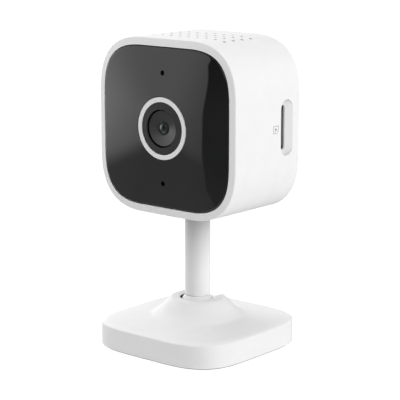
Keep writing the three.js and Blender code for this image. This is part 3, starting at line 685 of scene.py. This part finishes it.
# ---------------------------------------------------------------- base
def build_base():
    n = 192
    def squ(inset, z):
        return [(x, y, z) for x, y in polar(BASE - inset, BASE - inset, BASE_R - inset, BASE_N, n)]
    edge = polar(BASE, BASE, BASE_R, BASE_N, n)
    def mix(t, z, start=3.5, end=18.0):
        out = []
        for x, y in edge:
            R = math.hypot(x, y)
            r = (1 - t) * (R - start) + t * end
            out.append((x * r / R, y * r / R, z))
        return out
    def circle(r, z):
        return [(x * r / math.hypot(x, y), y * r / math.hypot(x, y), z) for x, y in edge]
    # skirt round the foot, upright side, tight edge, softly domed top
    rings = [squ(2.2, 0.9), squ(1.05, 0.9), squ(1.0, 0.84), squ(1.0, 0.3), squ(0.94, 0.24), squ(0.3, 0.24), squ(0.12, 0.3), squ(0.02, 0.46), squ(0, 0.65), squ(0, 6.4)]
    dome = smooth_line([(0, 6.4), (0.02, 6.62), (0.12, 6.82), (0.32, 6.99), (0.7, 7.19), (1.3, 7.38), (2.2, 7.53), (3.5, 7.63)], 4)
    rings += [squ(a, z) for a, z in dome[4:-1]]
    rings.append(mix(0.0, 7.63))
    for t, z in ((0.25, 7.73), (0.5, 7.825), (0.75, 7.915)):
        rings.append(mix(t, z))
    # flared collar: concave foot, straight flank at about 45 degrees, round rim
    flank = smooth_line([(18.0, 7.99), (17.0, 8.1), (16.0, 8.22), (15.2, 8.33), (14.5, 8.45), (13.9, 8.6), (13.35, 8.84), (12.7, 9.27), (12.0, 9.83), (11.0, 10.66), (10.0, 11.72), (9.0, 12.75), (8.4, 13.3), (8.05, 13.6), (7.82, 13.76), (7.6, 13.85), (7.3, COLLAR_TOP)], 3)
    rings += [circle(r, z) for r, z in flank]
    lip = [(6.2, COLLAR_TOP), (5.5, COLLAR_TOP - 0.01), (5.33, COLLAR_TOP - 0.05), (5.22, COLLAR_TOP - 0.14), (5.16, COLLAR_TOP - 0.3),
           (5.14, COLLAR_TOP - 0.5), (5.3, BALL_Z + 2.0), (5.55, BALL_Z + 1.0), (5.66, BALL_Z), (5.66, BALL_Z - 0.9), (8.2, BALL_Z - 0.9), (8.6, 5.6)]
    rings += [circle(r, z) for r, z in lip]
    rings += [mix(0.9, 5.4, 1.5, 13.5), squ(2.2, 5.0)]
    o = mesh_object("base_skin", *loft(rings, closed=True))
    # fold notch: its floor rises and runs out on the top
    w = 4.05
    side = [(0, 7.2), (6.5, 7.2), (17.6, 8.04), (17.6, 16), (0, 16)]
    notch = mesh_object("cutter", *loft([[(x, y, z) for y, z in side] for x in (-w, w)]))
    cut_and_shade(o, [notch])
    o = finish_piece(o, "base_skin", "base", "base_white", ["base_shell"])
    o.data.materials.append(SOCKET_PAINTED_SHADE)
    # the socket's inner wall below the rim gets near-black painted shade
    for f in o.data.polygons:
        x, y, z = (c / MM for c in f.center)
        r = math.hypot(x, y)
        if r < 5.8 and z < COLLAR_TOP - 0.35 and (x * f.normal.x + y * f.normal.y) < -0.3 * r:
            f.material_index = 1
    return o


build_base()


def build_foot():
    n = 128
    def squ(inset, z):
        return [(x, y, z) for x, y in polar(BASE - inset, BASE - inset, BASE_R - inset, BASE_N, n)]
    rings = [squ(0.52, 0.0), squ(0.45, 0.03), squ(0.43, 0.08), squ(0.43, 0.2), squ(0.51, 0.225), squ(1.35, 0.225), squ(1.35, 0.6)]
    return mesh_object("foot_pad", *loft(rings))


finish_piece(shade(build_foot()), "foot_pad", "base", "foot_rubber", ["rubber_foot"])

# ---------------------------------------------------------------- floor, light
def floor_sheet(name, z, color, glow):
    """A large plain sheet under the object."""
    o = mesh_object(name, [(-6000, -6000, z), (6000, -6000, z), (6000, 6000, z), (-6000, 6000, z)], [(0, 1, 2, 3)])
    m = material(name + "_white", color, 0.9, tone=0.004, tone_scale=20, grain=0.0, rough_var=0.02, specular=0.0)
    m.node_tree.nodes["Principled BSDF"].inputs["Emission Color"].default_value = (1, 1, 1, 1)
    m.node_tree.nodes["Principled BSDF"].inputs["Emission Strength"].default_value = glow
    o.data.materials.append(m)
    return o


# pale and nearly evenly bright, seen only by the camera
floor = floor_sheet("floor", 0, (0.2, 0.2, 0.2), 0.86)
for flag in ("visible_diffuse", "visible_glossy", "visible_transmission", "visible_shadow"):
    setattr(floor, flag, False)

world = bpy.data.worlds.new("world")
SCENE.world = world
world.use_nodes = True
bg = world.node_tree.nodes["Background"]
bg.inputs["Strength"].default_value = 1.0

# soft studio light: lobes round the object, (azimuth, elevation, tightness, strength)
LOBES = [
    (40, -65, 6, 1.17),
    (130, -65, 6, 0.72),
    (220, -65, 6, 0.1),
    (310, -65, 6, 1.48),
    (90, -25, 12, 1.27),
    (135, -25, 12, 0.09),
    (180, -25, 12, 0.61),
    (120, 5, 12, 0.45),
    (150, 5, 12, 1.84),
    (180, 5, 12, 0.26),
    (210, 5, 12, 0.31),
    (240, 5, 12, 1.81),
    (270, 5, 12, 1.28),
    (300, 5, 12, 1.52),
    (45, 28, 12, 1.99),
    (75, 28, 12, 1.97),
    (105, 28, 12, 1.08),
    (255, 28, 12, 0.17),
    (285, 28, 12, 0.96),
    (45, 52, 12, 0.62),
    (270, 52, 12, 1.29),
    (315, 52, 12, 0.34),
    (220, 75, 12, 2.42),
]


def math_node(nt, op, a, b=0.0, c=0.0):
    n = nt.nodes.new("ShaderNodeMath")
    n.operation = op
    for k, v in enumerate((a, b, c)):
        if isinstance(v, (int, float)):
            n.inputs[k].default_value = v
        else:
            nt.links.new(v, n.inputs[k])
    return n.outputs[0]


def soft_light(nt, lobes):
    co = nt.nodes.new("ShaderNodeTexCoord")
    total = None
    for az, el, power, strength in lobes:
        a, e = math.radians(az), math.radians(el)
        dot = nt.nodes.new("ShaderNodeVectorMath")
        dot.operation = "DOT_PRODUCT"
        dot.inputs[1].default_value = (math.sin(a) * math.cos(e), -math.cos(a) * math.cos(e), math.sin(e))
        nt.links.new(co.outputs["Generated"], dot.inputs[0])
        value = math_node(nt, "POWER", math_node(nt, "MAXIMUM", dot.outputs["Value"], 0.0), power)
        value = math_node(nt, "MULTIPLY", value, strength)
        total = value if total is None else math_node(nt, "ADD", total, value)
    nt.links.new(total, nt.nodes["Background"].inputs["Color"])


soft_light(world.node_tree, LOBES)


def reflection_card():
    """Large curved panel in front, seen only in reflections: soft and bright to the left, dark beyond its curved edge."""
    radius, lo, hi = 3.0, -75, 60
    verts, faces = [], []
    n, m = 54, 30
    for i in range(n + 1):
        az = math.radians(lo + (hi - lo) * i / n)
        for j in range(m + 1):
            el = math.radians(-45 + 65 * j / m)
            verts.append((1000 * radius * math.sin(az) * math.cos(el), -1000 * radius * math.cos(az) * math.cos(el), 1000 * radius * math.sin(el)))
    for i in range(n):
        for j in range(m):
            faces.append((i * (m + 1) + j, (i + 1) * (m + 1) + j, (i + 1) * (m + 1) + j + 1, i * (m + 1) + j + 1))
    me = bpy.data.meshes.new("card_stage")
    me.from_pydata([tuple(c * MM for c in v) for v in verts], [], faces)
    o = bpy.data.objects.new("card_stage", me)
    SCENE.collection.objects.link(o)
    o.location = (0, 0, HEAD_Z * MM)
    mat = bpy.data.materials.new("card_stage_glow")
    mat.use_nodes = True
    nt = mat.node_tree
    nt.nodes.remove(nt.nodes["Principled BSDF"])
    em = nt.nodes.new("ShaderNodeEmission")
    nt.links.new(em.outputs[0], nt.nodes["Material Output"].inputs["Surface"])
    co = nt.nodes.new("ShaderNodeTexCoord")
    unit = nt.nodes.new("ShaderNodeVectorMath")
    unit.operation = "NORMALIZE"
    nt.links.new(co.outputs["Object"], unit.inputs[0])
    sep = nt.nodes.new("ShaderNodeSeparateXYZ")
    nt.links.new(unit.outputs["Vector"], sep.inputs[0])
    az = math_node(nt, "DEGREES", math_node(nt, "ARCTAN2", sep.outputs["X"], math_node(nt, "MULTIPLY", sep.outputs["Y"], -1.0)))
    el = math_node(nt, "DEGREES", math_node(nt, "ARCSINE", sep.outputs["Z"]))

    def step(x, a, b):
        r = nt.nodes.new("ShaderNodeMapRange")
        r.interpolation_type = "SMOOTHSTEP"
        r.inputs["From Min"].default_value = a
        r.inputs["From Max"].default_value = b
        nt.links.new(x, r.inputs["Value"])
        return r.outputs["Result"]

    # brighter to the left, fading below the horizon
    side = math_node(nt, "MULTIPLY_ADD", math_node(nt, "MAXIMUM", math_node(nt, "MULTIPLY_ADD", az, -1.0, -32.0), -6.0), 0.037, 0.64)
    bright = math_node(nt, "MULTIPLY_ADD", math_node(nt, "MULTIPLY", side, step(el, -13.2, -7.4)), 1.0, 0.47)
    dark = math_node(nt, "MULTIPLY_ADD", el, -0.008, 0.12)
    dark = math_node(nt, "MAXIMUM", dark, 0.07)
    # curved edge between the two
    bow = math_node(nt, "ADD", el, 7.5)
    edge = math_node(nt, "ADD", math_node(nt, "MINIMUM", math_node(nt, "MULTIPLY", math_node(nt, "MULTIPLY", bow, bow), 0.037), 3.8), az)
    mask = step(edge, -29.2, -28.6)
    out = math_node(nt, "ADD", bright, math_node(nt, "MULTIPLY", mask, math_node(nt, "SUBTRACT", dark, bright)))
    nt.links.new(out, em.inputs["Strength"])
    me.materials.append(mat)
    for flag in ("visible_camera", "visible_diffuse", "visible_transmission", "visible_shadow", "visible_volume_scatter"):
        setattr(o, flag, False)
    return o


reflection_card()
